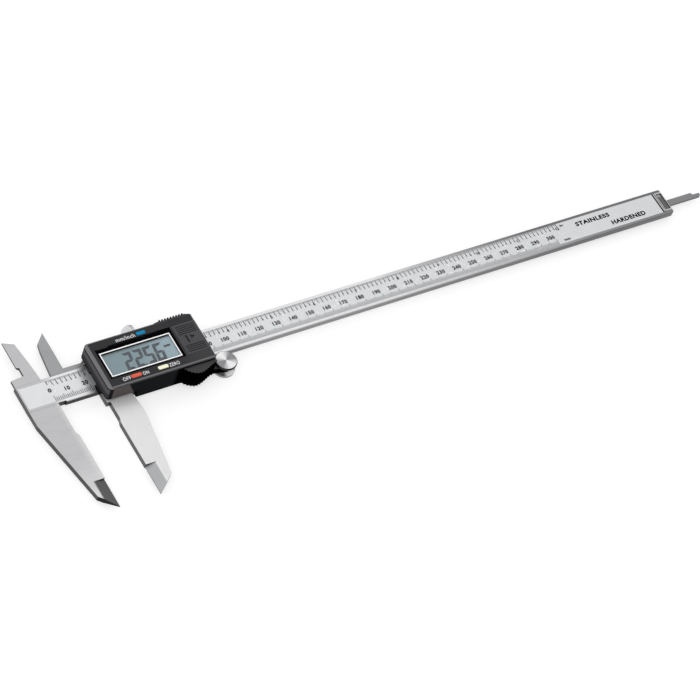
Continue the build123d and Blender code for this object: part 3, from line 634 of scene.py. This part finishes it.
def metric_scale(ink):
    """Millimetre lines from the label's lower edge, numbered every ten."""
    for mm in range(301):
        length = tick_length(mm, METRIC_LINES)
        low = LABEL_BOTTOM + EDGE_GAP
        ink.quad(mm - MM_TICK_HALF, mm + MM_TICK_HALF, low, low + length)
    left, right, low = ZERO_FIGURE
    ink.text("0", left, right, low, low + DIGIT_HEIGHT, BOLD)
    low = METRIC_FIGURES
    for tens in range(1, 31):
        right = tens * 10 - 0.1
        ink.text(str(tens * 10), None, right, low, low + DIGIT_HEIGHT, BOLD, 0.95, 1.15)


def inch_scale(ink):
    """Inch lines from the label's upper edge, numbered every tenth and every inch."""
    fortieths = 12 * 40
    for i in range(fortieths + 1):
        x = i / 40 * INCH
        length = tick_length(i, INCH_LINES)
        half = INCH_TICK_HALF * (2 if i % 4 == 0 else 1)
        ink.quad(x - half, x + half, LABEL_TOP - EDGE_GAP - length, LABEL_TOP - EDGE_GAP)
    for tenth in range(1, 12 * 10 + 1):
        x = tenth / 10 * INCH
        if tenth % 10:
            ink.text(str(tenth % 10), None, x + 0.45, 2.8, 4.0, 0.05)
        else:
            ink.text(str(tenth // 10), None, x + 0.6, 2.3, 4.2, 0.06)


ink = Print(-LABEL_DEPTH)
metric_scale(ink)
inch_scale(ink)
ink.text("in", 306.7, 308.8, 3.9, 5.2, BOLD)
ink.text("mm", 304.2, 308.0, -5.2, -4.1, BOLD, spacing=1.1)
ink.text("STAINLESS", 315.8, 337.9, 1.1, 3.8, BOLD, spacing=1.12)
ink.text("HARDENED", 336.3, 358.6, -4.4, -1.6, BOLD, spacing=1.12)
ink.piece("scale_print", label_ink, "beam")

front = Print(local_box("battery_cover")[1].z + 0.02)
front.text("OFF", 31.3, 35.7, -12.85, -10.9, spacing=1.06)
front.text("ON", 42.4, 45.7, -12.85, -10.9, spacing=1.06)
front.text("ZERO", 57.2, 63.0, -12.8, -10.85, spacing=1.06)
front.text("mm/inch", 38.8, 49.4, 9.2, 11.4, spacing=1.06)
front.piece("button_lettering", white_ink, "slider")

pane_low, pane_high = local_box("display_window")
BORDER_WIDTH = 0.65
PANE_RIM = 0.05             # bare rim of the pane round the black mask
UPPER_SHADOW_STRIP = 0.75          # black strip inside the border's upper edge, a painted shadow of the border
border = (pane_low.x + 1.5, pane_high.x - 0.9, pane_low.y + 1.45, pane_high.y - 2.25)
left, right, low, top = border
mask_left, mask_right = pane_low.x + PANE_RIM, pane_high.x - PANE_RIM
mask_low, mask_top = pane_low.y + PANE_RIM, pane_high.y - PANE_RIM
inner_top = top - BORDER_WIDTH
mask = Print(pane_high.z)
mask.quad(mask_left, left, mask_low, mask_top)
mask.quad(right, mask_right, mask_low, mask_top)
mask.quad(left, right, mask_low, low)
mask.quad(left, right, top, mask_top)
# black strip painted as the border's shadow on the display
mask.quad(left + BORDER_WIDTH, right - BORDER_WIDTH, inner_top - UPPER_SHADOW_STRIP, inner_top)
mask.piece("window_mask", black_ink, "slider")
line = Print(pane_high.z)
line.ring(*border, BORDER_WIDTH)
line.piece("window_border", white_ink, "slider")

# seven-segment digits: which bars are lit, and the bars' places in a 1 x 1 cell
SEGMENTS = {"2": "abged", "5": "afgcd", "6": "afgedc"}
DIGIT_LEFTS = (37.4, 43.0, 48.8, 54.5)
DIGIT_LOW = -7.0
CELL_WIDTH = 5.0
CELL_HEIGHT = 10.4
BAR = 1.65                  # width of a bar
BAR_GAP = 0.09              # half the gap between two bars
SLANT = 0.1
POINT_HALF = 0.45
POINT_HEIGHT = 0.9
UNIT_BAR = (61.0, 64.7, -0.3, 1.0)


def segment(ink, left, name):
    """One bar of a seven-segment digit, mitred where it meets its neighbours."""
    half = CELL_HEIGHT / 2
    low, top = 0.0, CELL_HEIGHT
    x0, x1 = 0.0, CELL_WIDTH
    gap = BAR_GAP
    near = BAR - gap
    inner = BAR / 2
    outlines = {
        "a": [(x0 + gap, top), (x1 - gap, top), (x1 - near, top - BAR), (x0 + near, top - BAR)],
        "d": [(x0 + gap, low), (x1 - gap, low), (x1 - near, low + BAR), (x0 + near, low + BAR)],
        "f": [(x0, top - gap), (x0 + BAR, top - near), (x0 + BAR, half + inner), (x0, half + gap)],
        "e": [(x0, low + gap), (x0 + BAR, low + near), (x0 + BAR, half - inner), (x0, half - gap)],
        "b": [(x1, top - gap), (x1 - BAR, top - near), (x1 - BAR, half + inner), (x1, half + gap)],
        "c": [(x1, low + gap), (x1 - BAR, low + near), (x1 - BAR, half - inner), (x1, half - gap)],
        "g": [
            (x0 + gap, half),
            (x0 + BAR, half + inner - gap),
            (x1 - BAR, half + inner - gap),
            (x1 - gap, half),
            (x1 - BAR, half - inner + gap),
            (x0 + BAR, half - inner + gap),
        ],
    }
    ink.polygon([(left + x + SLANT * y, DIGIT_LOW + y) for x, y in outlines[name]])


panel_front = local_box("lcd_glass")[1].z
digits = Print(panel_front)
for left, figure in zip(DIGIT_LEFTS, "2256"):
    for name in SEGMENTS[figure]:
        segment(digits, left, name)
point_x = DIGIT_LEFTS[2] - 0.85
digits.quad(point_x - POINT_HALF, point_x + POINT_HALF, DIGIT_LOW, DIGIT_LOW + POINT_HEIGHT)
digits.quad(*UNIT_BAR)
digit_ink = printed_ink("digit_ink", (0.012, 0.022, 0.038))
digits.piece("display_digits", digit_ink, "slider")


# ---------------------------------------------------------------- floor, light and camera
FLOOR_HALF = 6.0
FLOOR_DROP = 0.0002
FLOOR_TONE = (0.5, 0.5, 0.5)
FLOOR_GLOW = 0.55
SKY_LEAN = (-0.5, 0.0, 1.0)     # the sky brightens in this direction
SKY_RAMP = (0.1, 0.55)
CAMERA_PLACE = (-626.99, -733.67, 1257.34)
CAMERA_FORWARD = (0.477065, 0.429924, -0.766533)
CAMERA_UP = (0.266952, 0.760047, 0.592508)
LENS = 168.413


def floor():
    """Plain white sheet on a light table, which keeps the shadows faint."""
    half = FLOOR_HALF
    mesh = bpy.data.meshes.new("floor")
    corners = [(-half, -half, 0), (half, -half, 0), (half, half, 0), (-half, half, 0)]
    mesh.from_pydata(corners, [], [(0, 1, 2, 3)])
    maker = Maker("floor_paper", FLOOR_TONE, roughness=0.9)
    maker.shader.inputs["Specular IOR Level"].default_value = 0.1
    maker.shader.inputs["Emission Color"].default_value = (1.0, 1.0, 1.0, 1.0)
    maker.shader.inputs["Emission Strength"].default_value = FLOOR_GLOW
    maker.vary_colour(maker.noise(0.02), 0.004)
    mesh.materials.append(maker.material)
    made = bpy.data.objects.new("floor", mesh)
    made.location.z = cad_low.z - FLOOR_DROP
    bpy.context.scene.collection.objects.link(made)


def soft_light(name, place, target, size, power):
    data = bpy.data.lights.new(name, "AREA")
    data.shape = "SQUARE"
    data.size = size
    data.energy = power
    lamp = bpy.data.objects.new(name, data)
    lamp.location = place
    lamp.rotation_mode = "QUATERNION"
    lamp.rotation_quaternion = (target - place).to_track_quat("-Z", "Y")
    bpy.context.scene.collection.objects.link(lamp)


def sky(low, high):
    """White studio, darker towards the horizon on the right, where the ramp's value is low."""
    world = bpy.data.worlds.new("studio")
    bpy.context.scene.world = world
    world.use_nodes = True
    nodes = world.node_tree.nodes
    links = world.node_tree.links
    coordinates = nodes.new("ShaderNodeTexCoord")
    lean = nodes.new("ShaderNodeVectorMath")
    lean.operation = "DOT_PRODUCT"
    lean.inputs[1].default_value = SKY_LEAN
    links.new(coordinates.outputs["Generated"], lean.inputs[0])
    ramp = nodes.new("ShaderNodeMapRange")
    ramp.inputs["From Min"].default_value = SKY_RAMP[0]
    ramp.inputs["From Max"].default_value = SKY_RAMP[1]
    ramp.inputs["To Min"].default_value = low
    ramp.inputs["To Max"].default_value = high
    links.new(lean.outputs["Value"], ramp.inputs["Value"])
    background = nodes["Background"]
    background.inputs["Color"].default_value = (1.0, 1.0, 1.0, 1.0)
    links.new(ramp.outputs["Result"], background.inputs["Strength"])


def camera():
    data = bpy.data.cameras.new("camera")
    data.lens = LENS
    data.sensor_width = 36.0
    data.clip_start = 0.05
    data.clip_end = 20.0
    made = bpy.data.objects.new("camera", data)
    forward = Vector(CAMERA_FORWARD).normalized()
    right = forward.cross(Vector(CAMERA_UP)).normalized()
    up = right.cross(forward)
    turn = Matrix((right, up, -forward)).transposed()
    made.matrix_world = Matrix.Translation(at(*CAMERA_PLACE)) @ turn.to_4x4()
    bpy.context.scene.collection.objects.link(made)
    bpy.context.scene.camera = made


middle = (cad_low + cad_high) / 2
floor()
sky(0.35, 1.1)
soft_light("top", middle + Vector((-0.9, -0.5, 1.2)), middle, 1.0, 3.0)
camera()
bpy.context.scene.view_settings.view_transform = "Standard"
